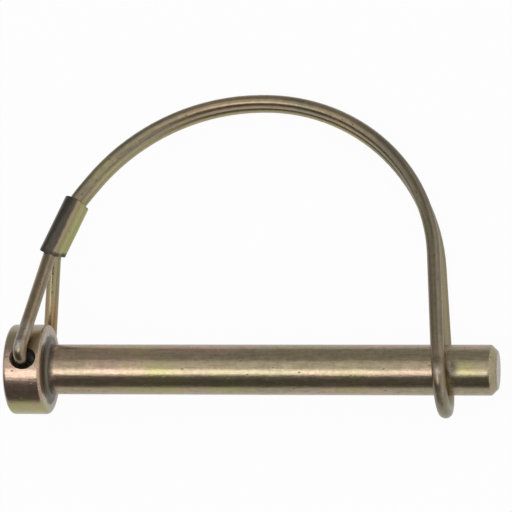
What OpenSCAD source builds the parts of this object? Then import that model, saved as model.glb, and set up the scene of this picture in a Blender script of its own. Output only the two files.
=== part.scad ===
/* [Shaft] */
// Diameter of the shaft
shaft_d = 10; // [8:0.5:12]
// Length of the shaft, from the collar's bearing face to the tip
shaft_len = 90.5; // [84:0.5:105]
// Bevel round the tip
tip_chamfer = 1.1; // [0.4:0.1:2]
// Radius of the fillet where the shaft leaves the collar
root_fillet = 1.4; // [0.6:0.1:2]

/* [Collar] */
// Diameter of the collar
collar_d = 18; // [17:0.5:24]
// Length of the collar
collar_len = 7; // [6.6:0.1:12]
// Bevel round both rims of the collar
collar_bevel = 0.35; // [0.2:0.05:0.6]
// Play of the wire in the cross hole, taken on the diameter
hole_play = 2.3; // [1.2:0.1:2.6]
// Metal left between the cross hole and the bearing face
hole_wall = 0.5; // [0.4:0.1:1]

/* [Wire] */
// Diameter of the spring wire
wire_d = 2.7; // [2.2:0.1:3]
// Gap between the two strands where they run side by side
strand_gap = 0.1; // [0.05:0.05:0.3]
// Length of each wire end inside the collar
end_depth = 4.8; // [3:0.1:6.5]
// How far the wire ends sit back from the centre of the cross hole
end_back = 0.2; // [0:0.05:0.4]
// How far the wire ends hang below the centre of the cross hole
end_drop = 0.3; // [0:0.05:0.4]
// Distance from the collar's side to the corner of each elbow
elbow_out = 3.6; // [3:0.1:5]
// Bend radius of the elbows, at the centre of the wire
elbow_r = 2; // [1.8:0.1:2.6]

/* [Bail] */
// Height of the arch above the shaft's axis, at the centre of the wire
bail_height = 56.1; // [52:0.5:60]
// Distance from the bearing face to the top of the arch
apex_x = 40.8; // [36:0.5:46]
// Shaft left free between the loop and the tip
tip_free = 10.7; // [6:0.5:16]
// Lean of the strands that come down to the loop, in degrees
loop_lean = 4.75; // [3:0.25:8]
// Clearance between the shaft and each side of the loop
side_gap = 0.95; // [0.9:0.05:2]
// Clearance between the shaft and the bottom of the loop
loop_gap = 1.75; // [1:0.05:3]
// Straight run between the sleeve's bend and the arch
shoulder_run = 5; // [4:0.5:8]

/* [Sleeve] */
// Length of the crimped sleeve
sleeve_len = 12.9; // [10:0.1:16]
// Wall of the sleeve
sleeve_wall = 0.82; // [0.5:0.02:1.2]
// Gap between the sleeve and the strands
crimp_gap = 0.03; // [0.02:0.01:0.1]
// Height of the sleeve's mouth above the shaft's axis
sleeve_rise = 23.3; // [20:0.1:26]
// How far the sleeve's mouth stands ahead of the wire ends
sleeve_ahead = 1.95; // [0:0.05:4]
// Lean of the sleeve from upright, in degrees
sleeve_lean = 22.2; // [18:0.2:26]
// Bevel round both ends of the sleeve
sleeve_bevel = 0.25; // [0.1:0.05:0.4]

/* [Hidden] */

$fn = 96;

// The model is drawn with the shaft along +X from the bearing face, the arch
// towards +Y and the loop's two sides at +Z and -Z. lie() then lays it down.

// Radii, and the place of the cross hole
shaft_r = shaft_d / 2;
collar_r = collar_d / 2;
wire_r = wire_d / 2;
hole_r = (wire_d + hole_play) / 2;
hole_x = -hole_wall - hole_r;

// Strands side by side, and strands beside the shaft
half_pitch = (wire_d + strand_gap) / 2;
half_loop = shaft_r + side_gap + wire_r;
loop_x = shaft_len - tip_free;
loop_y = -shaft_r - loop_gap - wire_r;

// Bends of the strands at the sleeve's mouth and top, and the least straight
// run that is left between two bends
mouth_r = 6;
crown_r = 14;
stub = 0.3;

// The legs' corner lies this far up the sleeve
mouth_in = 1.4;

// Bends are this much thinner than the straights, as wire necks where it is
// bent, and reach this far into them
neck = 0.01;
lap = 0.05;

// Vector helpers
function unit(v) = v / norm(v);
function mirrored(p) = [p.x, p.y, -p.z];
function reversed(list) = [for (i = [len(list) - 1 : -1 : 0]) list[i]];
function turn_of(a, b, c) = acos(unit(b - a) * unit(c - b));
function setback(a, b, c, r) = r * tan(turn_of(a, b, c) / 2);
function side_of(d) = unit(cross(d, abs(d.z) < 0.9 ? [0, 0, 1] : [1, 0, 0]));

// Corners of the front strand, from its end in the cross hole to the loop
hinge = [hole_x - end_back, -end_drop, 0];
wire_end = hinge + [0, 0, collar_r - end_depth];
elbow = hinge + [0, 0, collar_r + elbow_out];
along = [sin(sleeve_lean), cos(sleeve_lean), 0];
mouth = [hinge.x + sleeve_ahead, sleeve_rise, 0];
leg_top = mouth + mouth_in * along + [0, 0, half_pitch];
crown = mouth + sleeve_len * along + [0, 0, half_pitch];

// The shoulder corner gives one arc from the straight run to the apex
reach = apex_x - stub - crown.x + shoulder_run;
climb = bail_height - crown.y;
shoulder_x = crown.x + (reach * reach - climb * climb) / (2 * reach);
shoulder = [shoulder_x, bail_height, half_pitch];

// The strands spread evenly from the apex to the loop, past both sides of
// the shaft
spread = (half_loop - half_pitch) / bail_height;
brow = [loop_x - bail_height * tan(loop_lean), bail_height, half_pitch];
foot = [loop_x - loop_y * tan(loop_lean), loop_y, half_loop - spread * loop_y];

// Radii of the two arcs of the arch and of the loop's bottom
left_angle = turn_of(crown, shoulder, brow);
left_r = (apex_x - stub - shoulder.x) / tan(left_angle / 2);
right_angle = turn_of(shoulder, brow, foot);
right_r = (brow.x - apex_x - stub) / tan(right_angle / 2);
loop_angle = turn_of(brow, foot, mirrored(foot));
loop_r = (foot.z - stub) / tan(loop_angle / 2);

half_path = [wire_end, elbow, leg_top, crown, shoulder, brow, foot];
half_bends = [0, elbow_r, mouth_r, crown_r, left_r, right_r, loop_r];
path = concat(half_path, [for (p = reversed(half_path)) mirrored(p)]);
bends = concat(half_bends, reversed(half_bends));

// The locked pin lies on three points of the rear strand: its elbow and both
// ends of its straight run beside the loop. floor_normal is found from them.
down = unit(mirrored(foot) - mirrored(brow));
run_top = mirrored(brow) + setback(shoulder, brow, foot, right_r) * down;
run_end = mirrored(foot) - loop_r * tan(loop_angle / 2) * down;
rear_elbow = mirrored(elbow);
leg_dir = unit(mirrored(leg_top) - rear_elbow);
elbow_axis = unit(cross([0, 0, 1], leg_dir));
elbow_set = setback(wire_end, elbow, leg_top, elbow_r);
bisector = unit(leg_dir + [0, 0, 1]);
elbow_mid = rear_elbow + norm([elbow_set, elbow_r]) * bisector;
function in_elbow(v) = v - (v * elbow_axis) * elbow_axis;
function touch(n) = elbow_mid - elbow_r * unit(in_elbow(n));
function plane(p) = unit(cross(run_end - p, run_top - p));
first_normal = plane(rear_elbow);
floor_normal = plane(touch(plane(touch(plane(touch(first_normal))))));
ahead = unit([1, 0, 0] - floor_normal.x * floor_normal);
aside = cross(floor_normal, ahead);

// Lays the model down with +Z up and the shaft's heading along +X
module lie() {
  multmatrix([
    [ahead.x, ahead.y, ahead.z, 0],
    [aside.x, aside.y, aside.z, 0],
    [floor_normal.x, floor_normal.y, floor_normal.z, 0],
    [0, 0, 0, 1]
  ]) children();
}

// Puts the children's axes X, Y and Z along x, y and z at the point o
module place(o, x, y, z) {
  multmatrix([
    [x.x, y.x, z.x, o.x],
    [x.y, y.y, z.y, o.y],
    [x.z, y.z, z.z, o.z],
    [0, 0, 0, 1]
  ]) children();
}

// Straight round bar from p to q
module rod(p, q, r) {
  d = unit(q - p);
  s = side_of(d);
  place(p, s, cross(d, s), d) cylinder(h = norm(q - p), r = r, $fn = 32);
}

// Round bar bent at the corner b of a, b and c
module bend(a, b, c, bend_r, r) {
  d = unit(b - a);
  angle = turn_of(a, b, c);
  axis = unit(cross(d, unit(c - b)));
  start = b - setback(a, b, c, bend_r) * d;
  inward = cross(axis, d);
  extra = lap / bend_r * 180 / PI;
  place(start + bend_r * inward, -inward, d, axis)
    rotate([0, 0, -extra])
      rotate_extrude(angle = angle + 2 * extra, $fn = 180)
        translate([bend_r, 0]) circle(r = r - neck, $fn = 32);
}

// The strand between the corners numbered first and last of the path
module strand(first, last, r) {
  for (i = [first : last - 1]) {
    head = i == 0 ? 0 : setback(path[i - 1], path[i], path[i + 1], bends[i]);
    tail = i + 2 == len(path) ? 0
      : setback(path[i], path[i + 1], path[i + 2], bends[i + 1]);
    d = unit(path[i + 1] - path[i]);
    rod(path[i] + head * d, path[i + 1] - tail * d, r);
  }
  for (i = [max(first, 1) : min(last, len(path) - 2)]) {
    bend(path[i - 1], path[i], path[i + 1], bends[i], r);
  }
}

// Half section of the turned pin: radius along X, length along Y
module pin_section() {
  difference() {
    union() {
      polygon([
        [0, -collar_len],
        [collar_r - collar_bevel, -collar_len],
        [collar_r, collar_bevel - collar_len],
        [collar_r, -collar_bevel],
        [collar_r - collar_bevel, 0],
        [0, 0]
      ]);
      polygon([
        [0, -1],
        [shaft_r, -1],
        [shaft_r, shaft_len - tip_chamfer],
        [shaft_r - tip_chamfer, shaft_len],
        [0, shaft_len]
      ]);
      translate([shaft_r - 1, -1]) square([root_fillet + 1, root_fillet + 1]);
    }
    translate([shaft_r + root_fillet, root_fillet]) circle(r = root_fillet);
  }
}

// Turned pin: collar and shaft in one piece, cross drilled for the wire ends
module pin() {
  color("#a08a63") lie() difference() {
    rotate([0, 90, 0]) rotate([0, 0, 90]) rotate_extrude() pin_section();
    translate([hole_x, 0, -collar_r - 1]) cylinder(h = collar_d + 2, r = hole_r);
  }
}

// Spring wire bent double: both ends in the cross hole, the loop at the tip
module bail_wire() {
  color("#8d8058") lie() strand(0, len(path) - 1, wire_r);
}

// One of the two lobes of the sleeve's outside, along +Z from its mouth
module lobe(r) {
  cylinder(h = sleeve_bevel, r1 = r - sleeve_bevel, r2 = r);
  translate([0, 0, sleeve_bevel]) cylinder(h = sleeve_len - 2 * sleeve_bevel, r = r);
  translate([0, 0, sleeve_len - sleeve_bevel])
    cylinder(h = sleeve_bevel, r1 = r, r2 = r - sleeve_bevel);
}

// Sleeve pressed round both strands, with a shallow waist between its lobes
module sleeve() {
  bore_r = wire_r + crimp_gap;
  lobe_r = bore_r + sleeve_wall;
  waist = lobe_r * 0.84;
  slot = bore_r * 0.65;
  color("#8f8657") lie() difference() {
    place(mouth, [0, 0, 1], cross(along, [0, 0, 1]), along) union() {
      translate([half_pitch, 0, 0]) lobe(lobe_r);
      translate([-half_pitch, 0, 0]) lobe(lobe_r);
      translate([-half_pitch, -waist, 0]) cube([2 * half_pitch, 2 * waist, sleeve_len]);
    }
    place(mouth, [0, 0, 1], cross(along, [0, 0, 1]), along)
      translate([-half_pitch, -slot, -1])
        cube([2 * half_pitch, 2 * slot, sleeve_len + 2]);
    strand(1, 4, bore_r);
    strand(len(path) - 5, len(path) - 2, bore_r);
  }
}

pin();
bail_wire();
sleeve();
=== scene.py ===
import math

import bmesh
import bpy
from mathutils import Matrix, Vector
from mathutils.kdtree import KDTree


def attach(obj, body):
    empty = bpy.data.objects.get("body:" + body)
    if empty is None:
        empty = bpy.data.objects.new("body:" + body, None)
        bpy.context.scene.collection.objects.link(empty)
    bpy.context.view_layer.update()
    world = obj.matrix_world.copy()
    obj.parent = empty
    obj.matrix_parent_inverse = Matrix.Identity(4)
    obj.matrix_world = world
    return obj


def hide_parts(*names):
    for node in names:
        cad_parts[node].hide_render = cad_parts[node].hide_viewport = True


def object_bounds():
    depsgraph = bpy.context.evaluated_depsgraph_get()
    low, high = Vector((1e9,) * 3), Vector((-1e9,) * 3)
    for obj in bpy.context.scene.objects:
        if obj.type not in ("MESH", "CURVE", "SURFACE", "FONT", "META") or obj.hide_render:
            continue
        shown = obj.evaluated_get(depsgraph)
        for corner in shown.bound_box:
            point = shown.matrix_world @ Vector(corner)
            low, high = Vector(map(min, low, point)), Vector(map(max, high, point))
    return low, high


bl_info = {
    "name": "Wire Lock Pin",
    "version": (1, 0, 0),
    "blender": (4, 5, 0),
    "location": "View3D > Sidebar > Lock Pin",
    "description": "Headed lock pin with a round wire bail, in passivated zinc",
    "category": "Object",
}

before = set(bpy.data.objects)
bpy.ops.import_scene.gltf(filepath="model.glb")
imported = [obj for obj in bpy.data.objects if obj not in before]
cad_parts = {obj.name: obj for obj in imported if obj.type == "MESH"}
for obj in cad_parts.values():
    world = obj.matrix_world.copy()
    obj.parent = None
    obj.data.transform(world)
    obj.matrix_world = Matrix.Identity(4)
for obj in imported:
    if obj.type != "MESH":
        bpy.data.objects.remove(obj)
cad_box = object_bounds()

FLOOR_Z = cad_box[0].z
FULL_TURN = 2 * math.pi
X_AXIS, Z_AXIS = Vector((1, 0, 0)), Vector((0, 0, 1))

# how finely the pieces are turned, swept and rounded
PIN_STEPS = 120
BORE_STEPS = 72
WIRE_SIDES = 28
LOBE_SIDES = 48
VALLEY_CUTS = 6
RIM_SEGMENTS = 6
ROOT_SEGMENTS = 7
EDGE_SEGMENTS = 3
END_SEGMENTS = 2
DEGREES_A_STEP = 3
LEAST_STEPS = 6
LAY_STEP = 0.00025

# small lengths: plain band beside a rounded edge, rounding of the tip's edges,
# how far the drill runs past the collar, and what counts as the same place
HOLD = 0.00015
TIP_EDGE = 0.0002
DRILL_PAST = 0.003
SAME_POINT = 1e-7
SAME_RING = 1e-6
SAME_BEND = 1e-5

# clear passivation over the plate
COAT_WEIGHT = 0.6
COAT_ROUGHNESS = 0.25

# noise scale that breaks up a scuff, and one that breaks up a patch of film, painted shade or
# painted highlight
SCUFF_GRAIN = 1500.0
FILM_AND_SHADE_GRAIN = 350.0


# ---------------------------------------------------------------- settings

def length(name, text, default):
    return bpy.props.FloatProperty(
        name=name, description=text, default=default, min=0, subtype="DISTANCE",
        unit="LENGTH")


def turn(name, text, degrees):
    return bpy.props.FloatProperty(
        name=name, description=text, default=math.radians(degrees), subtype="ANGLE",
        unit="ROTATION")


def tone(name, text, default):
    return bpy.props.FloatVectorProperty(
        name=name, description=text, default=default, size=3, min=0, max=1, subtype="COLOR")


def share(name, text, default, low=0, high=1):
    return bpy.props.FloatProperty(
        name=name, description=text, default=default, min=low, max=high, subtype="FACTOR")


class LOCKPIN_PG_pin(bpy.types.PropertyGroup):
    """Sizes of the turned pin"""

    shaft_radius: length("Shaft Radius", "Radius of the shaft", 0.005)
    tip: length("Tip", "From the collar's bearing face to the tip", 0.0909)
    tip_run: length("Tip Run", "Length of the bevel round the tip", 0.0013)
    tip_drop: length("Tip Drop", "Depth of the bevel round the tip", 0.0013)
    collar_radius: length("Collar Radius", "Radius of the collar", 0.009)
    collar_front: length("Collar Front", "How far the collar's crowned face stands proud", 0.00045)
    collar_back: length("Collar Back", "Length of the collar behind its bearing face", 0.0072)
    rim_round: length("Rim Round", "Radius round both rims of the collar", 0.0007)
    root_round: length("Root Round", "Fillet where the shaft leaves the collar", 0.0014)
    bore_radius: length("Bore Radius", "Radius of the cross hole", 0.0023)
    bore_back: length("Bore Back", "From the bearing face back to the cross hole's axis", 0.0031)
    bore_break: length("Bore Break", "Height at which the cross hole begins to flare", 0.00862)


class LOCKPIN_PG_bail(bpy.types.PropertyGroup):
    """Sizes of the wire bail"""

    wire_radius: length("Wire Radius", "Radius of the spring wire", 0.00135)
    strand_gap: length("Strand Gap", "Gap between the two strands", 0.0001)
    end_break: length("End Break", "Bevel round both cut ends of the wire", 0.0002)
    hinge_back: length("Hinge Back", "From the bearing face back to the wire's ends", 0.0032)
    hinge_drop: length("Hinge Drop", "How far the wire's ends hang below the axis", 0.0003)
    end_out: length("End Out", "From the pin's axis to each wire end", 0.0042)
    elbow_out: length("Elbow Out", "From the pin's axis to each elbow's corner", 0.0126)
    elbow_round: length("Elbow Round", "Bend radius of the elbows", 0.002)
    mouth_round: length("Mouth Round", "Bend radius at the sleeve's mouth", 0.006)
    crown_round: length("Crown Round", "Bend radius above the sleeve", 0.014)
    mouth_ahead: length("Mouth Ahead", "How far the sleeve's mouth stands ahead of the ends",
                        0.00195)
    mouth_rise: length("Mouth Rise", "Height of the sleeve's mouth above the axis", 0.0233)
    mouth_in: length("Mouth In", "From the sleeve's mouth to the bend inside it", 0.0014)
    sleeve_length: length("Sleeve Length", "Length of the crimped sleeve", 0.0129)
    sleeve_lean: turn("Sleeve Lean", "Lean of the sleeve from upright", 22.2)
    sleeve_radius: length("Sleeve Radius", "Outside radius of each lobe of the sleeve", 0.0022)
    sleeve_bore: length("Sleeve Bore", "Inside radius of each lobe of the sleeve", 0.00137)
    sleeve_break: length("Sleeve Break", "Bevel round both ends of the sleeve", 0.0002)
    sleeve_slant: length("Sleeve Slant", "How much shorter the rear lobe is cut", 0.0022)
    # the sleeve is painted dark on one side of this direction and brown and green on the other, as
    # painted shade and painted reflection
    sleeve_shade_facing: bpy.props.FloatVectorProperty(
        name="Sleeve Facing", description="Side of the sleeve that took the thicker plate",
        subtype="DIRECTION", size=3, default=(0.184, -0.291, 0.939))
    valley: share("Valley", "Depth of the valley between the lobes, in lobe radii", 0.2)
    shoulder_run: length("Shoulder Run", "Straight run above the sleeve", 0.005)
    height: length("Height", "Height of the arch above the axis", 0.0561)
    apex: length("Apex", "From the bearing face to the top of the arch", 0.0408)
    stub: length("Stub", "Least straight run between two bends", 0.0003)
    loop_at: length("Loop At", "From the bearing face to the loop", 0.0798)
    loop_lean: turn("Loop Lean", "Lean of the strands that come down to the loop", 4.75)
    loop_half: length("Loop Half", "From the pin's plane to each side of the loop", 0.0073)
    loop_drop: length("Loop Drop", "From the axis down to the loop's bottom", 0.0081)


class LOCKPIN_PG_plate(bpy.types.PropertyGroup):
    """Colours and surface of the passivated zinc plate, with the colours of its painted shade and
    highlights
    """

    warm: tone("Warm", "Pinkish tan of the plate", (0.56, 0.395, 0.29))
    olive: tone("Olive", "Olive brown of the plate", (0.45, 0.375, 0.235))
    # green and brown also paint the sleeve's lit side, as painted reflection
    green: tone("Green", "Yellow green of the thicker plate", (0.46, 0.44, 0.165))
    brown: tone("Brown", "Brown of the wire's plate", (0.43, 0.325, 0.2))
    gold: tone("Gold", "Clear yellow of the rear strand's plate", (0.56, 0.5, 0.25))
    rust: tone("Rust", "Orange brown of the thickest film", (0.46, 0.26, 0.13))
    # umber is painted shade on the sleeve's dark side and painted shadow on the shaft by the loop;
    # it also darkens the arch's ends
    umber: tone("Umber", "Dark brown film on the sleeve", (0.095, 0.08, 0.058))
    umber_light: tone("Light Umber", "Grey brown of the thin plate", (0.31, 0.26, 0.165))
    # pale is the loop's dull bloom, and also painted highlight on the collar's face and in the
    # shaft's root
    pale: tone("Pale", "Dull pale green bloom", (0.5, 0.465, 0.325))
    silver: tone("Silver", "Bare zinc where the plate is scuffed", (0.68, 0.66, 0.6))
    # near black for the steel's pits, and painted shade in the shaft's root, at the sleeve's ends,
    # on the loop and in the cross hole
    pit_and_shade_dark: tone("Pit And Shade Dark", "Dark film that stays in corners", (0.06, 0.05, 0.035))
    gloss: share("Roughness", "Roughness of the clean plate", 0.2, 0.02)


class LOCKPIN_PG_stage(bpy.types.PropertyGroup):
    """Camera, floor and light"""

    azimuth: turn("Azimuth", "Side that the camera stands on", 51.47)
    elevation: turn("Elevation", "Height of the camera above the horizon", 72.55)
    roll: turn("Roll", "Turn of the camera about its own axis", -51.0)
    distance: length("Distance", "From the camera to the point it looks at", 0.653)
    lens: bpy.props.FloatProperty(
        name="Lens", description="Focal length in millimetres", default=228.58, min=20)
    aim: bpy.props.FloatVectorProperty(
        name="Aim", description="Point that the camera looks at", subtype="TRANSLATION",
        unit="LENGTH", size=3, default=(0.04113, 0.02351, -0.00476))
    floor: tone("Floor", "Colour of the floor", (0.93, 0.93, 0.93))
    backdrop: share("Backdrop", "How plainly white the floor looks to the camera", 0.96)


# ----------------------------------------------------------- the bail's path

def mirrored(p):
    return Vector((p.x, p.y, -p.z))


def turn_of(a, b, c):
    return (b - a).angle(c - b)


def setback(a, b, c, r):
    return r * math.tan(turn_of(a, b, c) / 2)


class BailPath:
    """Corners and bends of the wire in the pin's own axes, and how it lies"""

    def __init__(self, s):
        half = s.wire_radius + s.strand_gap / 2
        hinge = Vector((-s.hinge_back, -s.hinge_drop, 0))
        end = hinge + Z_AXIS * s.end_out
        elbow = hinge + Z_AXIS * s.elbow_out
        along = Vector((math.sin(s.sleeve_lean), math.cos(s.sleeve_lean), 0))
        mouth = Vector((hinge.x + s.mouth_ahead, s.mouth_rise, 0))
        leg_top = mouth + along * s.mouth_in + Z_AXIS * half
        crown = mouth + along * s.sleeve_length + Z_AXIS * half
        reach = s.apex - s.stub - crown.x + s.shoulder_run
        climb = s.height - crown.y
        shoulder = Vector((crown.x + (reach ** 2 - climb ** 2) / (2 * reach), s.height, half))
        spread = (s.loop_half - half) / s.height
        brow = Vector((s.loop_at - s.height * math.tan(s.loop_lean), s.height, half))
        foot = Vector((s.loop_at + s.loop_drop * math.tan(s.loop_lean), -s.loop_drop,
                       s.loop_half + spread * s.loop_drop))
        left_r = (s.apex - s.stub - shoulder.x) / math.tan(turn_of(crown, shoulder, brow) / 2)
        right_r = (brow.x - s.apex - s.stub) / math.tan(turn_of(shoulder, brow, foot) / 2)
        loop_turn = turn_of(brow, foot, mirrored(foot))
        loop_r = (foot.z - s.stub) / math.tan(loop_turn / 2)
        corners = [end, elbow, leg_top, crown, shoulder, brow, foot]
        bends = [0, s.elbow_round, s.mouth_round, s.crown_round, left_r, right_r, loop_r]
        self.corners = corners + [mirrored(p) for p in reversed(corners)]
        self.bends = bends + bends[::-1]
        self.mouth, self.along = mouth, along
        self.elbow, self.crown, self.brow, self.foot = elbow, crown, brow, foot

        down = (mirrored(foot) - mirrored(brow)).normalized()
        run_top = mirrored(brow) + down * setback(shoulder, brow, foot, right_r)
        run_end = mirrored(foot) - down * loop_r * math.tan(loop_turn / 2)
        rear = mirrored(elbow)
        leg = (mirrored(leg_top) - rear).normalized()
        axis = Z_AXIS.cross(leg).normalized()
        tangent = setback(end, elbow, leg_top, s.elbow_round)
        middle = rear + (leg + Z_AXIS).normalized() * math.hypot(tangent, s.elbow_round)

        def plane(p):
            return (run_end - p).cross(run_top - p).normalized()

        normal = plane(rear)
        for _ in range(3):
            lean = (normal - axis * normal.dot(axis)).normalized()
            normal = plane(middle - lean * s.elbow_round)
        ahead = (X_AXIS - normal * normal.x).normalized()
        self.lie = Matrix((ahead, normal.cross(ahead), normal)).to_4x4()

    def bend(self, i):
        """Start, centre, axis and turn of the bend at corner i"""
        a, b, c = self.corners[i - 1:i + 2]
        d = (b - a).normalized()
        axis = d.cross(c - b).normalized()
        start = b - d * setback(a, b, c, self.bends[i])
        return start, start + axis.cross(d) * self.bends[i], axis, turn_of(a, b, c)

    def points(self, step):
        """Points along the wire's middle, with their distance from its end"""
        out, run, at = [], 0.0, self.corners[0]
        for i in range(1, len(self.corners)):
            last = i == len(self.corners) - 1
            to = self.corners[i] if last else self.bend(i)[0]
            count = max(1, round((to - at).length / step))
            out += [(at.lerp(to, n / count), run + (to - at).length * n / count)
                    for n in range(count)]
            run += (to - at).length
            at = to
            if not last:
                start, centre, axis, angle = self.bend(i)
                count = max(1, round(angle * self.bends[i] / step))
                for n in range(count):
                    spun = Matrix.Rotation(angle * n / count, 3, axis) @ (start - centre)
                    out.append((centre + spun, run + angle * self.bends[i] * n / count))
                run += angle * self.bends[i]
                at = centre + Matrix.Rotation(angle, 3, axis) @ (start - centre)
        return out + [(at, run)]


def bail_path():
    return BailPath(bpy.context.scene.lockpin_bail)


# ------------------------------------------------------------------- meshes

def finish_piece(name, bm, lie, materials, sharp):
    """Turns a bmesh in the pin's own axes into a piece where the CAD lies"""
    bm.transform(lie)
    mesh = bpy.data.meshes.new(name)
    bm.to_mesh(mesh)
    bm.free()
    mesh.shade_smooth()
    mesh.set_sharp_from_angle(angle=math.radians(sharp))
    for mat in materials:
        mesh.materials.append(mat)
    piece = bpy.data.objects.new(name, mesh)
    bpy.context.scene.collection.objects.link(piece)
    return piece


def of_kind(geom, kind):
    return [item for item in geom if isinstance(item, kind)]


def bevel(bm, edges, offset, segments):
    bmesh.ops.bevel(bm, geom=edges, offset=offset, offset_type="OFFSET", affect="EDGES",
                    segments=segments, profile=0.5, material=-1, clamp_overlap=True)


def lathe(profile, axis, steps):
    """Closed body turned from (station, radius) points about the axis"""
    bm = bmesh.new()
    side = Vector((0, 1, 0)) if axis == X_AXIS else X_AXIS
    verts = [bm.verts.new(axis * x + side * r) for x, r in profile]
    edges = [bm.edges.new(pair) for pair in zip(verts, verts[1:])]
    bmesh.ops.spin(bm, geom=verts + edges, cent=(0, 0, 0), axis=axis, angle=FULL_TURN,
                   steps=steps, use_merge=True, use_duplicate=False)
    bmesh.ops.remove_doubles(bm, verts=bm.verts, dist=SAME_POINT)
    bmesh.ops.recalc_face_normals(bm, faces=bm.faces)
    return bm


def ring_edges(bm, station, radius):
    """Edges of the ring at a station and radius of a body turned about X"""
    def on(v):
        out = math.hypot(v.co.y, v.co.z)
        return abs(v.co.x - station) < SAME_RING and abs(out - radius) < SAME_RING
    return [e for e in bm.edges if on(e.verts[0]) and on(e.verts[1])]


def round_ring(bm, station, radius, offset, segments):
    bevel(bm, ring_edges(bm, station, radius), offset, segments)


def cut(body, tool):
    """Mesh of one bmesh body with another cut out of it"""
    scene = bpy.context.scene
    objects = []
    for name, bm in (("blank", body), ("drill", tool)):
        mesh = bpy.data.meshes.new(name)
        bm.to_mesh(mesh)
        bm.free()
        objects.append(bpy.data.objects.new(name, mesh))
        scene.collection.objects.link(objects[-1])
    blank, drill = objects
    modifier = blank.modifiers.new("bore", "BOOLEAN")
    modifier.object = drill
    modifier.operation = "DIFFERENCE"
    modifier.solver = "EXACT"
    graph = bpy.context.evaluated_depsgraph_get()
    result = bmesh.new()
    result.from_mesh(blank.evaluated_get(graph).to_mesh())
    for o in objects:
        mesh = o.data
        bpy.data.objects.remove(o)
        bpy.data.meshes.remove(mesh)
    return result


def sweep(path, radius, sides):
    """Round bar swept along the bail's path by extruding and spinning its end"""
    bm = bmesh.new()
    corners = path.corners
    heading = (corners[1] - corners[0]).to_track_quat("Z", "Y").to_matrix().to_4x4()
    bmesh.ops.create_circle(bm, segments=sides, radius=radius,
                            matrix=Matrix.Translation(corners[0]) @ heading)
    ends = [list(bm.edges)]
    rim, at = list(bm.edges), corners[0]
    for i in range(1, len(corners)):
        last = i == len(corners) - 1
        to = corners[i] if last else path.bend(i)[0]
        made = bmesh.ops.extrude_edge_only(bm, edges=rim)["geom"]
        fresh = of_kind(made, bmesh.types.BMVert)
        bmesh.ops.translate(bm, verts=fresh, vec=to - at)
        rim = [e for e in of_kind(made, bmesh.types.BMEdge) if set(e.verts) <= set(fresh)]
        at = to
        if not last:
            start, centre, axis, angle = path.bend(i)
            steps = max(LEAST_STEPS, math.ceil(math.degrees(angle) / DEGREES_A_STEP))
            verts = list({v for e in rim for v in e.verts})
            made = bmesh.ops.spin(bm, geom=verts + rim, cent=centre, axis=axis, angle=angle,
                                  steps=steps, use_merge=False, use_duplicate=False)["geom_last"]
            rim = of_kind(made, bmesh.types.BMEdge)
            at = centre + Matrix.Rotation(angle, 3, axis) @ (start - centre)
            got = sum((v.co for v in {v for e in rim for v in e.verts}), Vector()) / sides
            if (got - at).length > SAME_BEND:
                raise RuntimeError("the wire's bend %d went the wrong way" % i)
    ends.append(rim)
    for edges in ends:
        bmesh.ops.edgeloop_fill(bm, edges=edges)
    bmesh.ops.recalc_face_normals(bm, faces=bm.faces)
    return bm, [e for edges in ends for e in edges]


def crimped_tube(path, s):
    """Tube pressed round both strands, with a valley between its lobes"""
    bm = bmesh.new()
    half = s.wire_radius + s.strand_gap / 2
    for radius, valley in ((s.sleeve_radius, s.valley), (s.sleeve_bore, 0)):
        verts = bmesh.ops.create_circle(bm, segments=LOBE_SIDES, radius=radius)["verts"]
        middle = [v for v in verts if abs(v.co.x) < SAME_POINT]
        for v in verts:
            if v not in middle:
                v.co.x += math.copysign(half, v.co.x)
        flats = list({e for v in middle for e in v.link_edges})
        bmesh.ops.subdivide_edges(bm, edges=flats, cuts=VALLEY_CUTS)
        for v in bm.verts:
            if abs(v.co.x) < half and abs(abs(v.co.y) - radius) < radius * 0.05:
                dip = valley * (1 + math.cos(math.pi * v.co.x / half)) / 2
                v.co.y = math.copysign(radius * (1 - dip), v.co.y)
    bmesh.ops.bridge_loops(bm, edges=list(bm.edges))
    made = bmesh.ops.extrude_face_region(bm, geom=list(bm.faces))["geom"]
    bmesh.ops.translate(bm, verts=of_kind(made, bmesh.types.BMVert), vec=(0, 0, s.sleeve_length))
    bmesh.ops.recalc_face_normals(bm, faces=bm.faces)

    def outer_rim(e):
        caps = [f for f in e.link_faces if abs(f.normal.z) > 0.9]
        sides = [f for f in e.link_faces if abs(f.normal.z) < 0.1]
        return len(caps) == 1 and len(sides) == 1 and \
            sides[0].normal.dot(sides[0].calc_center_median() * Vector((0.2, 1, 0))) > 0
    bevel(bm, [e for e in bm.edges if outer_rim(e)], s.sleeve_break, EDGE_SEGMENTS)
    wide = half + s.sleeve_radius
    for v in bm.verts:
        v.co.z += (wide - v.co.x) / (2 * wide) * s.sleeve_slant * (1 - v.co.z / s.sleeve_length)
    place = Matrix((Z_AXIS, path.along.cross(Z_AXIS), path.along)).transposed().to_4x4()
    place.translation = path.mouth
    bm.transform(place)
    return bm


def lay_out(bm, path, name):
    """Stores on each point its place along and across the wire laid straight"""
    points = path.points(LAY_STEP)
    tree = KDTree(len(points))
    for i, (p, _) in enumerate(points):
        tree.insert(p, i)
    tree.balance()
    frames, side = [], X_AXIS.copy()
    for i in range(len(points)):
        d = (points[min(i + 1, len(points) - 1)][0] - points[max(i - 1, 0)][0]).normalized()
        side = (side - d * side.dot(d)).normalized()
        frames.append((d, side, d.cross(side)))
    layer = bm.verts.layers.float_vector.new(name)
    for v in bm.verts:
        _, i, _ = tree.find(v.co)
        off = v.co - points[i][0]
        d, a, b = frames[i]
        v[layer] = Vector((points[i][1] + off.dot(d), off.dot(a), off.dot(b)))


# -------------------------------------------------------------------- nodes

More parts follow.
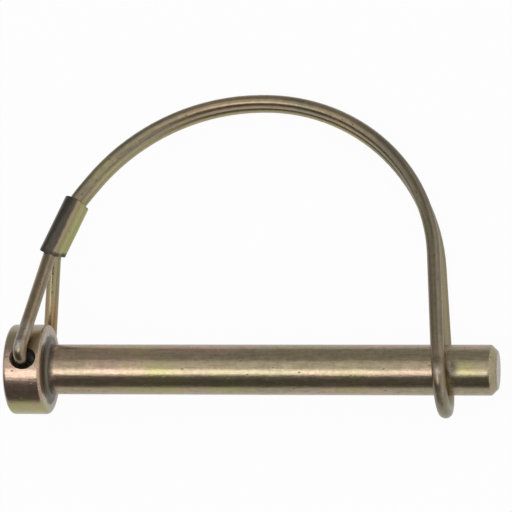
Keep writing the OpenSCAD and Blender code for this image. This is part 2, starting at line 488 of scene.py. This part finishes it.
def add(tree, kind, settings=None, **sockets):
    """Adds a node; sockets are given by name, from another socket or a value"""
    node = tree.nodes.new("ShaderNode" + kind)
    for key, value in (settings or {}).items():
        setattr(node, key, value)
    for key, value in sockets.items():
        plug(tree, node.inputs[key.replace("_", " ")], value)
    return node


def plug(tree, socket, value):
    if isinstance(value, bpy.types.NodeSocket):
        tree.links.new(value, socket)
    else:
        socket.default_value = value


def calc(tree, operation, *values, clamp=False):
    node = add(tree, "Math", {"operation": operation, "use_clamp": clamp})
    for socket, value in zip(node.inputs, values):
        plug(tree, socket, value)
    return node.outputs[0]


def vector_calc(tree, operation, *values):
    node = add(tree, "VectorMath", {"operation": operation})
    for socket, value in zip(node.inputs, values):
        plug(tree, socket, value)
    return node.outputs["Value" if operation in ("DISTANCE", "DOT_PRODUCT") else "Vector"]


def noise(tree, vector, scale, detail=2.0, rough=0.5, distort=0.0):
    return add(tree, "TexNoise", Vector=vector, Scale=scale, Detail=detail, Roughness=rough,
               Distortion=distort).outputs["Fac"]


def remap(tree, value, low, high, to_low=0.0, to_high=1.0):
    node = add(tree, "MapRange", {"interpolation_type": "SMOOTHSTEP"}, Value=value,
               From_Min=low, From_Max=high, To_Min=to_low, To_Max=to_high)
    return node.outputs["Result"]


def blend(tree, factor, a, b, how="MIX"):
    node = add(tree, "Mix", {"data_type": "RGBA", "blend_type": how, "clamp_factor": True})
    plug(tree, node.inputs["Factor"], factor)
    for socket, value in ((node.inputs[6], a), (node.inputs[7], b)):
        if not isinstance(value, bpy.types.NodeSocket):
            value = (*value, 1)
        plug(tree, socket, value)
    return node.outputs[2]


def group(name, inputs, outputs, build):
    """Makes a node group once and returns it"""
    if name in bpy.data.node_groups:
        return bpy.data.node_groups[name]
    made = bpy.data.node_groups.new(name, "ShaderNodeTree")
    for label, kind, default in inputs:
        socket = made.interface.new_socket(label, in_out="INPUT", socket_type="NodeSocket" + kind)
        if default is not None:
            socket.default_value = default
    for label, kind in outputs:
        made.interface.new_socket(label, in_out="OUTPUT", socket_type="NodeSocket" + kind)
    start = made.nodes.new("NodeGroupInput")
    end = made.nodes.new("NodeGroupOutput")
    for label, socket in build(made, start.outputs).items():
        made.links.new(socket, end.inputs[label])
    return made


def use(tree, node_group, **sockets):
    node = add(tree, "Group", {"node_tree": node_group}, **sockets)
    return node.outputs


def plate_tone():
    """Zinc plate whose passivation drifts from tan to olive and yellow green"""
    def build(t, given):
        spot = vector_calc(t, "MULTIPLY", given["Vector"], (0.45, 1.0, 1.0))
        drift = noise(t, spot, given["Patch Scale"], 3.0, 0.55, 0.4)
        colour = blend(t, remap(t, drift, 0.4, 0.62), given["Warm"], given["Olive"])
        moved = vector_calc(t, "ADD", spot, (0.37, 0.11, 0.23))
        green = noise(t, moved, calc(t, "MULTIPLY", given["Patch Scale"], 0.8), 2.0, 0.5, 0.3)
        edge = calc(t, "SUBTRACT", 0.72, calc(t, "MULTIPLY", given["Green Share"], 0.4))
        green = remap(t, green, edge, calc(t, "ADD", edge, 0.16))
        colour = blend(t, calc(t, "MULTIPLY", green, 0.85), colour, given["Green"])
        cloud = remap(t, noise(t, given["Vector"], 900.0, 4.0, 0.65), 0.3, 0.7, 0.86, 1.1)
        shade = add(t, "CombineXYZ", X=cloud, Y=cloud, Z=cloud).outputs[0]
        return {"Color": blend(t, 1.0, colour, shade, "MULTIPLY")}
    return group("plate tone", [
        ("Vector", "Vector", None), ("Warm", "Color", None), ("Olive", "Color", None),
        ("Green", "Color", None), ("Patch Scale", "Float", 90.0), ("Green Share", "Float", 0.4),
    ], [("Color", "Color")], build)


def drawn_steel():
    """Lines of drawing along X, fine grain and scattered pits of the steel"""
    def build(t, given):
        stretched = vector_calc(t, "MULTIPLY", given["Vector"], (0.09, 1.0, 1.0))
        lines = noise(t, stretched, given["Line Scale"], 3.0, 0.6)
        grain = noise(t, given["Vector"], given["Grain Scale"], 2.0, 0.6)
        pits = add(t, "TexVoronoi", {"feature": "F1"}, Vector=vector_calc(
            t, "MULTIPLY", given["Vector"], (0.55, 1.0, 1.0)), Scale=given["Pit Scale"])
        chance = add(t, "SeparateColor", Color=pits.outputs["Color"]).outputs[0]
        chosen = calc(t, "LESS_THAN", chance, given["Pit Share"])
        pit = calc(t, "MULTIPLY", remap(t, pits.outputs["Distance"], 0.34, 0.1), chosen)
        height = calc(t, "ADD", calc(t, "MULTIPLY", lines, given["Line Depth"]),
                      calc(t, "MULTIPLY", grain, given["Grain Depth"]))
        height = calc(t, "SUBTRACT", height, calc(t, "MULTIPLY", pit, 0.6))
        return {"Height": height, "Lines": lines, "Grain": grain, "Pits": pit}
    return group("drawn steel", [
        ("Vector", "Vector", None), ("Line Scale", "Float", 2600.0), ("Line Depth", "Float", 0.6),
        ("Grain Scale", "Float", 2400.0), ("Grain Depth", "Float", 0.6),
        ("Pit Scale", "Float", 1400.0), ("Pit Share", "Float", 0.12),
    ], [("Height", "Float"), ("Lines", "Float"), ("Grain", "Float"), ("Pits", "Float")], build)


def rub_and_shade_spot():
    """Broken patch round a place, for a rub, a film, or painted shade and highlight"""
    def build(t, given):
        gap = vector_calc(t, "DISTANCE", given["Vector"], given["Place"])
        near = remap(t, gap, given["Reach"], calc(t, "MULTIPLY", given["Reach"], 0.3))
        broken = remap(t, noise(t, given["Vector"], given["Grain Scale"], 3.0, 0.7), 0.38, 0.6)
        solid = calc(t, "ADD", calc(t, "MULTIPLY", broken, 0.75), 0.25)
        return {"Mask": calc(t, "MULTIPLY", near, solid)}
    return group("rub and shade spot", [
        ("Vector", "Vector", None), ("Place", "Vector", None), ("Reach", "Float", 0.003),
        ("Grain Scale", "Float", 1500.0),
    ], [("Mask", "Float")], build)


def ring_band():
    """Band near a ring of given station and radius round the X axis"""
    def build(t, given):
        split = add(t, "SeparateXYZ", Vector=given["Vector"]).outputs
        radius = calc(t, "SQRT", calc(t, "ADD", calc(t, "MULTIPLY", split[1], split[1]),
                                      calc(t, "MULTIPLY", split[2], split[2])))
        dx = calc(t, "SUBTRACT", split[0], given["Station"])
        dr = calc(t, "SUBTRACT", radius, given["Radius"])
        gap = calc(t, "SQRT", calc(t, "ADD", calc(t, "MULTIPLY", dx, dx),
                                   calc(t, "MULTIPLY", dr, dr)))
        wobble = noise(t, given["Vector"], 700.0, 3.0, 0.6)
        gap = calc(t, "ADD", gap, calc(t, "MULTIPLY", calc(t, "SUBTRACT", wobble, 0.5),
                                       calc(t, "MULTIPLY", given["Reach"], 0.8)))
        return {"Mask": remap(t, gap, given["Reach"], calc(t, "MULTIPLY", given["Reach"], 0.45))}
    return group("ring band", [
        ("Vector", "Vector", None), ("Station", "Float", 0.0), ("Radius", "Float", 0.009),
        ("Reach", "Float", 0.0008),
    ], [("Mask", "Float")], build)


def side_film_and_shade():
    """Everything past a wavering line across the given direction"""
    def build(t, given):
        reach = vector_calc(t, "DOT_PRODUCT", given["Vector"], given["Direction"])
        wobble = calc(t, "SUBTRACT", noise(t, given["Vector"], 650.0, 3.0, 0.6), 0.5)
        reach = calc(t, "ADD", reach, calc(t, "MULTIPLY", wobble, given["Wobble"]))
        past = calc(t, "SUBTRACT", reach, given["Start"])
        return {"Mask": remap(t, past, 0.0, given["Fade"])}
    return group("side film and shade", [
        ("Vector", "Vector", None), ("Direction", "Vector", None), ("Start", "Float", 0.0),
        ("Fade", "Float", 0.0006), ("Wobble", "Float", 0.0005),
    ], [("Mask", "Float")], build)


# --------------------------------------------------------------- materials

def new_material(name):
    mat = bpy.data.materials.new(name)
    mat.use_nodes = True
    return mat, mat.node_tree, mat.node_tree.nodes["Principled BSDF"]


def pin_axes(tree, lie):
    """Object coordinates turned into the pin's own axes"""
    coords = add(tree, "TexCoord").outputs["Object"]
    turned = lie.to_3x3().transposed().to_euler("XYZ")
    return add(tree, "Mapping", Vector=coords, Rotation=turned).outputs[0]


def finish_metal(tree, shader, colour, rough, height, bump):
    """Joins colour, roughness and relief to the shader"""
    shader.inputs["Metallic"].default_value = 1
    shader.inputs["Coat Weight"].default_value = COAT_WEIGHT
    shader.inputs["Coat Roughness"].default_value = COAT_ROUGHNESS
    tree.links.new(colour, shader.inputs["Base Color"])
    tree.links.new(rough, shader.inputs["Roughness"])
    relief = add(tree, "Bump", Strength=1.0, Distance=bump, Height=height)
    tree.links.new(relief.outputs[0], shader.inputs["Normal"])


def plated_steel(name, s, vector_of, tones, green_share, patch, rings=(), spots=(), sides=(),
                 bump=0.000022, rough_add=0.0, pit_share=0.1):
    """Drawn steel under passivated zinc, with rings, spots and sides of wear, film, painted shade
    and painted highlight

    A ring is (station, radius, reach, strength, colour, added roughness), a spot is
    (place, reach, strength, colour, added roughness), and a side is
    (direction, start, fade, strength, colour, added roughness).
    """
    mat, tree, shader = new_material(name)
    vector, place_vector = vector_of(tree)
    warm, olive, green = tones
    colour = use(tree, plate_tone(), Vector=vector, Warm=(*warm, 1), Olive=(*olive, 1),
                 Green=(*green, 1), Patch_Scale=patch, Green_Share=green_share)[0]
    steel = use(tree, drawn_steel(), Vector=vector, Pit_Share=pit_share)
    rough = calc(tree, "ADD", s.gloss + rough_add, calc(tree, "MULTIPLY", steel["Lines"], 0.1))
    rough = calc(tree, "ADD", rough, calc(tree, "MULTIPLY", steel["Pits"], 0.25))
    lined = remap(tree, steel["Lines"], 0.35, 0.65, 0.88, 1.08)
    shade = add(tree, "CombineXYZ", X=lined, Y=lined, Z=lined).outputs[0]
    colour = blend(tree, 1.0, colour, shade, "MULTIPLY")
    marks = [(use(tree, ring_band(), Vector=vector, Station=station, Radius=radius, Reach=reach)[0],
              strength, tint, dull) for station, radius, reach, strength, tint, dull in rings]
    for place, reach, strength, tint, dull in spots:
        broken = SCUFF_GRAIN if tuple(tint) == tuple(s.silver) else FILM_AND_SHADE_GRAIN
        mask = use(tree, rub_and_shade_spot(), Vector=place_vector, Place=place, Reach=reach,
                   Grain_Scale=broken)[0]
        marks.append((mask, strength, tint, dull))
    films_and_shade = [(use(tree, side_film_and_shade(), Vector=place_vector, Direction=direction, Start=start,
                  Fade=fade)[0], strength, tint, dull)
             for direction, start, fade, strength, tint, dull in sides]
    for mask, strength, tint, dull in films_and_shade + marks:
        mask = calc(tree, "MULTIPLY", mask, strength)
        colour = blend(tree, mask, colour, tint)
        if dull:
            rough = calc(tree, "ADD", rough, calc(tree, "MULTIPLY", mask, dull))
    colour = blend(tree, calc(tree, "MULTIPLY", steel["Pits"], 0.5), colour, s.pit_and_shade_dark)
    finish_metal(tree, shader, colour, rough, steel["Height"], bump)
    return mat


def bore_shade_material(s):
    """Painted shade inside the cross hole, near black and dull"""
    mat, tree, shader = new_material("bore shade")
    coords = add(tree, "TexCoord").outputs["Object"]
    steel = use(tree, drawn_steel(), Vector=coords, Pit_Share=0.3)
    mottle = remap(tree, noise(tree, coords, 700.0, 3.0, 0.6), 0.35, 0.7)
    colour = blend(tree, calc(tree, "MULTIPLY", mottle, 0.35), s.pit_and_shade_dark, s.brown)
    rough = calc(tree, "ADD", 0.5, calc(tree, "MULTIPLY", steel["Grain"], 0.2))
    finish_metal(tree, shader, colour, rough, steel["Height"], 0.00002)
    return mat


# --------------------------------------------------------------- operators

class LOCKPIN_OT_pin(bpy.types.Operator):
    """Turn the pin, drill its collar and plate it"""

    bl_idname = "lockpin.pin"
    bl_label = "Turn Pin"

    def execute(self, context):
        s, plate = context.scene.lockpin_pin, context.scene.lockpin_plate
        path = bail_path()
        front, back, rim, rad = s.collar_front, -s.collar_back, s.collar_radius, s.shaft_radius
        inner = rim - s.rim_round - HOLD
        profile = [
            (back, 0), (back, inner), (back, rim), (back + s.rim_round + HOLD, rim),
            (front - s.rim_round - HOLD, rim), (front, rim), (front, inner),
            (front, rad + s.root_round + HOLD), (front, rad),
            (front + s.root_round + HOLD, rad),
            (s.tip - s.tip_run - 0.0005, rad), (s.tip - s.tip_run, rad),
            (s.tip, rad - s.tip_drop), (s.tip, rad - s.tip_drop - 0.0004), (s.tip, 0)]
        bm = lathe(profile, X_AXIS, PIN_STEPS)
        round_ring(bm, back, rim, s.rim_round, RIM_SEGMENTS)
        round_ring(bm, front, rim, s.rim_round, RIM_SEGMENTS)
        round_ring(bm, front, rad, s.root_round, ROOT_SEGMENTS)
        round_ring(bm, s.tip - s.tip_run, rad, TIP_EDGE, EDGE_SEGMENTS)
        round_ring(bm, s.tip, rad - s.tip_drop, TIP_EDGE, EDGE_SEGMENTS)
        top, flare = rim + DRILL_PAST, s.bore_break
        wide = s.bore_radius + top - flare
        drill = lathe([(-top, 0), (-top, wide), (-flare, s.bore_radius), (flare, s.bore_radius),
                       (top, wide), (top, 0)], Z_AXIS, BORE_STEPS)
        bmesh.ops.translate(drill, verts=drill.verts, vec=(-s.bore_back, 0, 0))
        bm = cut(bm, drill)
        # the wall of the cross hole takes the second material, which paints shade there
        for face in bm.faces:
            away = [math.hypot(v.co.x + s.bore_back, v.co.y) for v in face.verts]
            face.material_index = int(max(away) < s.bore_radius + 2e-5)
        mat = plated_steel(
            "pin plate", plate, lambda tree: (pin_axes(tree, path.lie),) * 2,
            (plate.warm, plate.olive, plate.green), 0.05, 75.0,
            # both rims of the collar, the tip's bevel, painted shade in the shaft's root fillet,
            # and a painted highlight ring on that fillet
            rings=[(front - 0.0002, rim - 0.0002, 0.0004, 0.25, plate.warm, 0.05),
                   (back + 0.0002, rim - 0.0002, 0.0004, 0.15, plate.silver, 0.05),
                   (s.tip - 0.0005, rad - 0.0005, 0.0009, 0.6, plate.olive, 0.08),
                   (s.tip - s.tip_run, rad, 0.0003, 0.2, plate.green, 0.05),
                   # painted shade: the root fillet darkened where the shaft leaves the collar
                   (front + 0.0002, rad + 0.0006, 0.0019, 0.85, plate.pit_and_shade_dark, 0.45),
                   # painted highlight: a pale ring on the root fillet
                   (front + 0.0005, rad + 0.0004, 0.0004, 0.25, plate.pale, 0)],
            spots=pin_spots(s, plate, path))
        piece = finish_piece("turned_pin", bm, path.lie, [mat, bore_shade_material(plate)], 32)
        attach(piece, "pin")
        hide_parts("pin")
        return {"FINISHED"}


def pin_spots(s, plate, path):
    """Where the plate is greener or paler, with painted highlight on the collar's face and painted
    shadow where the loop crosses the shaft
    """
    crossing = path.foot.lerp(path.brow, 0.16).x
    low, top = -s.shaft_radius, s.shaft_radius
    return [
        # greener plate along both sides of the shaft
        (Vector((0.022, low, 0.001)), 0.0105, 0.7, plate.green, 0),
        (Vector((0.037, low, 0.0)), 0.0075, 0.6, plate.green, 0),
        (Vector((0.062, low, 0.001)), 0.008, 0.4, plate.green, 0),
        (Vector((0.018, top, 0.002)), 0.0075, 0.55, plate.green, 0),
        (Vector((0.052, top, 0.002)), 0.006, 0.4, plate.green, 0),
        # the collar's side and crown, and a painted highlight on the face's upper part
        (Vector((-0.0035, -s.collar_radius, 0.001)), 0.0062, 1.7, plate.green, 0),
        (Vector((-0.0042, 0.0052, 0.0072)), 0.006, 1.2, plate.olive, 0),
        (Vector((-0.0055, s.collar_radius, 0.002)), 0.003, 0.5, plate.silver, 0.05),
        # painted highlight: the collar's face made paler near its upper rim
        (Vector((s.collar_front, 0.0082, 0.001)), 0.0034, 0.8, plate.pale, 0.1),
        # painted shadow and reflection of the loop on the shaft where the wire crosses it, a
        # greener patch beside it, and the tip's face
        (Vector((crossing + 0.0023, -0.001, 0.0049)), 0.0024, 0.9, plate.umber, 0.05),
        (Vector((crossing + 0.0055, -0.0008, 0.005)), 0.003, 0.6, plate.green, 0),
        (Vector((s.tip, 0.002, 0.0)), 0.0028, 0.35, plate.green, 0),
    ]


class LOCKPIN_OT_bail(bpy.types.Operator):
    """Bend the wire bail and plate it"""

    bl_idname = "lockpin.bail"
    bl_label = "Bend Bail"

    def execute(self, context):
        s, plate = context.scene.lockpin_bail, context.scene.lockpin_plate
        path = bail_path()
        bm, rims = sweep(path, s.wire_radius, WIRE_SIDES)
        bevel(bm, rims, s.end_break, END_SEGMENTS)
        lay_out(bm, path, "lay")
        elbow, side = path.elbow, s.wire_radius
        loop = path.foot.lerp(path.brow, 0.086)

        def vector_of(tree):
            lay = add(tree, "Attribute", {"attribute_name": "lay"}).outputs["Vector"]
            return lay, pin_axes(tree, path.lie)

        bottom = Vector((path.foot.x, path.foot.y - side, 0))
        tones = (plate.brown, plate.umber_light, plate.green)
        mat = plated_steel(
            "wire plate", plate, vector_of, tones, 0.3, 60.0,
            # the scuffed elbow, the rear leg and strand, the loop with painted shade and a scuff
            # that is partly a painted glint, and the arch's green start
            spots=[(elbow + Vector((0, -0.001, side)), 0.0024, 0.8, plate.green, 0.05),
                   (elbow + Vector((-0.0006, 0.0024, side)), 0.0026, 1.0, plate.silver, 0.08),
                   (elbow + Vector((0.0004, 0.006, 0)), 0.0034, 0.5, plate.silver, 0.08),
                   (Vector((-0.002, 0.014, -0.0085)), 0.0085, 0.8, plate.rust, 0),
                   (Vector((0.078, 0.016, -0.006)), 0.009, 0.25, plate.rust, 0),
                   # painted shade: a dark patch where the strand bends round the shaft
                   (loop + Vector((0, 0.0024, side)), 0.0016, 0.7, plate.pit_and_shade_dark, 0.1),
                   # bare zinc where the strand rubs the shaft, which is also a painted glint at its
                   # bend
                   (loop + Vector((0, 0, side)), 0.0011, 0.6, plate.silver, 0.05),
                   (bottom + Vector((0, 0, 0.003)), 0.0068, 1.1, plate.pale, 0.4),
                   (path.crown + Vector((0.004, 0.008, -0.0014)), 0.006, 0.7, plate.green, 0),
                   (path.crown + Vector((0.012, 0.017, -0.0014)), 0.005, 0.6, plate.green, 0)],
            # the clearer rear strand, and the darker ends of the arch
            sides=[(-Z_AXIS, -0.0002, 0.0008, 0.55, plate.gold, 0),
                   (X_AXIS, 0.058, 0.012, 0.4, plate.umber, 0),
                   (-X_AXIS, -0.008, 0.004, 0.25, plate.umber, 0)],
            rough_add=0.04, pit_share=0.08)
        piece = finish_piece("round_bail", bm, path.lie, [mat], 35)
        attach(piece, "bail")
        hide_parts("bail_wire")
        return {"FINISHED"}


class LOCKPIN_OT_sleeve(bpy.types.Operator):
    """Press the sleeve round the strands and plate it"""

    bl_idname = "lockpin.sleeve"
    bl_label = "Press Sleeve"

    def execute(self, context):
        s, plate = context.scene.lockpin_bail, context.scene.lockpin_plate
        path = bail_path()
        bm = crimped_tube(path, s)
        own = Matrix((path.along, Z_AXIS.cross(path.along), Z_AXIS)).to_4x4()
        own = own @ path.lie.transposed()

        def vector_of(tree):
            return pin_axes(tree, own.transposed()), pin_axes(tree, path.lie)

        facing = Vector(s.sleeve_shade_facing).normalized()
        across = path.along.cross(facing).normalized()
        middle = path.mouth.dot(across)
        slant = s.sleeve_slant / (2 * s.sleeve_radius + 2 * s.wire_radius + s.strand_gap)
        cut_normal = -(path.along + Z_AXIS * slant)
        cut_at = cut_normal.dot(path.mouth) - s.sleeve_slant / 2
        top_at = path.along.dot(path.mouth) + s.sleeve_length
        # painted shade and painted reflection: dark umber on one side of the sleeve, brown and then
        # green past the middle; painted shade at the mouth and the top
        sides = [(across, middle - 0.0002, 0.0006, 0.9, plate.brown, 0),
                 (across, middle + 0.0006, 0.0007, 1.0, plate.green, 0),
                 (cut_normal, cut_at - 0.0012, 0.0007, 0.85, plate.pit_and_shade_dark, 0.15),
                 (path.along, top_at - 0.0004, 0.0003, 0.5, plate.pit_and_shade_dark, 0.1)]
        # painted shade: the sleeve's base tone is dark umber
        tones = (plate.umber, plate.umber, plate.umber_light)
        mat = plated_steel("sleeve plate", plate, vector_of, tones, 0.1, 140.0, sides=sides,
                           rough_add=0.08, pit_share=0.12)
        piece = finish_piece("crimped_sleeve", bm, path.lie, [mat], 40)
        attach(piece, "bail")
        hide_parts("sleeve")
        return {"FINISHED"}


# the floor as the metal mirrors it: its share of white, its level, and where it fades
FLOOR_SIZE = 3
MIRROR_SHARE = 0.85
MIRROR_LEVEL = 0.66
NEAR_FADE = (-0.13, -0.08)
FAR_FADE = (0.062, 0.09)
FAR_SHARE = 0.5

# the room: degrees round the shaft's heading with their brightness, and the end wall
ROOM = ((-180, 0.12), (-160, 0.3), (56, 0.31), (62, 0.72), (118, 0.85), (124, 0.1), (180, 0.1))
END_WALL = (0.8, 0.8, 0.8)
END_WALL_FADE = (0.3, 0.5)

# the softbox: along and across the shaft, then how bright, how far and where
BOX_LENGTH, BOX_WIDTH = 0.3, 0.225
BOX_RADIANCE = 1.6
BOX_AWAY = 0.62
BOX_TILT = math.radians(112.6)
BOX_ASIDE = -0.19
BOX_AIM = Vector((0.04, 0.02, 0))

SENSOR_WIDTH = 36


class LOCKPIN_OT_stage(bpy.types.Operator):
    """Add the floor, the light and the camera"""

    bl_idname = "lockpin.stage"
    bl_label = "Add Stage"

    def execute(self, context):
        s = context.scene.lockpin_stage
        self.add_floor(context, s)
        self.add_world(context)
        self.add_lamp(context)
        self.add_camera(context, s)
        context.scene.view_settings.view_transform = "Standard"
        return {"FINISHED"}

    def add_floor(self, context, s):
        bm = bmesh.new()
        bmesh.ops.create_grid(bm, x_segments=1, y_segments=1, size=FLOOR_SIZE,
                              matrix=Matrix.Translation((0, 0, FLOOR_Z)))
        mesh = bpy.data.meshes.new("floor")
        bm.to_mesh(mesh)
        bm.free()
        floor = bpy.data.objects.new("floor", mesh)
        context.scene.collection.objects.link(floor)
        mat, tree, shader = new_material("floor")
        shader.inputs["Base Color"].default_value = (*s.floor, 1)
        shader.inputs["Roughness"].default_value = 0.9
        shader.inputs["Specular IOR Level"].default_value = 0.1
        path = add(tree, "LightPath").outputs
        across = add(tree, "SeparateXYZ", Vector=add(tree, "TexCoord").outputs["Object"]).outputs[1]
        near = calc(tree, "MULTIPLY", remap(tree, across, *NEAR_FADE),
                    remap(tree, across, *FAR_FADE, 1.0, FAR_SHARE))
        near = calc(tree, "MULTIPLY", near, MIRROR_LEVEL)
        level = calc(tree, "MAXIMUM", near, path["Is Camera Ray"])
        white = add(tree, "Emission", Color=(1, 1, 1, 1), Strength=level)
        mirror = calc(tree, "MULTIPLY", path["Is Glossy Ray"], MIRROR_SHARE)
        camera = calc(tree, "MULTIPLY", path["Is Camera Ray"], s.backdrop)
        mix = add(tree, "MixShader", Fac=calc(tree, "MAXIMUM", mirror, camera))
        tree.links.new(shader.outputs[0], mix.inputs[1])
        tree.links.new(white.outputs[0], mix.inputs[2])
        tree.links.new(mix.outputs[0], tree.nodes["Material Output"].inputs["Surface"])
        mesh.materials.append(mat)

    def add_world(self, context):
        """Pale room with dark panels, in bands round the shaft's heading"""
        world = bpy.data.worlds.new("studio")
        world.use_nodes = True
        context.scene.world = world
        tree = world.node_tree
        back = tree.nodes["Background"]
        split = add(tree, "SeparateXYZ", Vector=add(tree, "TexCoord").outputs["Generated"]).outputs
        angle = calc(tree, "ARCTAN2", split["Z"], split["Y"])
        around = add(tree, "MapRange", Value=angle, From_Min=-math.pi, From_Max=math.pi)
        ramp = add(tree, "ValToRGB", Fac=around.outputs[0])
        bands = ramp.color_ramp.elements
        while len(bands) < len(ROOM):
            bands.new(0.5)
        for band, (degrees, level) in zip(bands, ROOM):
            band.position = (degrees + 180) / 360
            band.color = (level, level, level, 1)
        ahead = add(tree, "MapRange", Value=split["X"], From_Min=END_WALL_FADE[0],
                    From_Max=END_WALL_FADE[1]).outputs[0]
        colour = blend(tree, ahead, ramp.outputs["Color"], END_WALL)
        tree.links.new(colour, back.inputs["Color"])
        back.inputs["Strength"].default_value = 1

    def add_lamp(self, context):
        data = bpy.data.lights.new("softbox", "AREA")
        data.shape = "RECTANGLE"
        data.size, data.size_y = BOX_LENGTH, BOX_WIDTH
        data.energy = BOX_RADIANCE * math.pi * data.size * data.size_y
        lamp = bpy.data.objects.new("softbox", data)
        out = Vector((BOX_ASIDE, math.cos(BOX_TILT), math.sin(BOX_TILT))).normalized()
        lamp.location = BOX_AIM + out * BOX_AWAY
        across = out.cross(X_AXIS).normalized()
        lamp.rotation_mode = "QUATERNION"
        axes = Matrix((across.cross(out), across, out)).transposed()
        lamp.rotation_quaternion = axes.to_quaternion()
        context.scene.collection.objects.link(lamp)

    def add_camera(self, context, s):
        out = Vector((math.sin(s.azimuth) * math.cos(s.elevation),
                      -math.cos(s.azimuth) * math.cos(s.elevation), math.sin(s.elevation)))
        right = Vector((math.cos(s.azimuth), math.sin(s.azimuth), 0))
        up = out.cross(right)
        turned = right * math.cos(s.roll) + up * math.sin(s.roll)
        turned_up = up * math.cos(s.roll) - right * math.sin(s.roll)
        data = bpy.data.cameras.new("camera")
        data.lens = s.lens
        data.sensor_width = SENSOR_WIDTH
        cam = bpy.data.objects.new("camera", data)
        place = Matrix((turned, turned_up, out)).transposed().to_4x4()
        place.translation = Vector(s.aim) + out * s.distance
        cam.matrix_world = place
        context.scene.collection.objects.link(cam)
        context.scene.camera = cam


class LOCKPIN_PT_panel(bpy.types.Panel):
    """Lists the steps' buttons in the sidebar"""

    bl_idname = "LOCKPIN_PT_panel"
    bl_label = "Lock Pin"
    bl_space_type = "VIEW_3D"
    bl_region_type = "UI"
    bl_category = "Lock Pin"

    def draw(self, context):
        col = self.layout.column()
        for step in STEPS:
            col.operator(step.bl_idname)


SETTINGS = {"lockpin_pin": LOCKPIN_PG_pin, "lockpin_bail": LOCKPIN_PG_bail,
            "lockpin_plate": LOCKPIN_PG_plate, "lockpin_stage": LOCKPIN_PG_stage}
STEPS = (LOCKPIN_OT_pin, LOCKPIN_OT_bail, LOCKPIN_OT_sleeve, LOCKPIN_OT_stage)
CLASSES = (*SETTINGS.values(), *STEPS, LOCKPIN_PT_panel)


def register():
    for cls in CLASSES:
        bpy.utils.register_class(cls)
    for name, cls in SETTINGS.items():
        setattr(bpy.types.Scene, name, bpy.props.PointerProperty(type=cls))


def unregister():
    for name in SETTINGS:
        delattr(bpy.types.Scene, name)
    for cls in reversed(CLASSES):
        bpy.utils.unregister_class(cls)


def main():
    register()
    bpy.ops.lockpin.pin()
    bpy.ops.lockpin.bail()
    bpy.ops.lockpin.sleeve()
    bpy.ops.lockpin.stage()


if __name__ == "__main__":
    main()
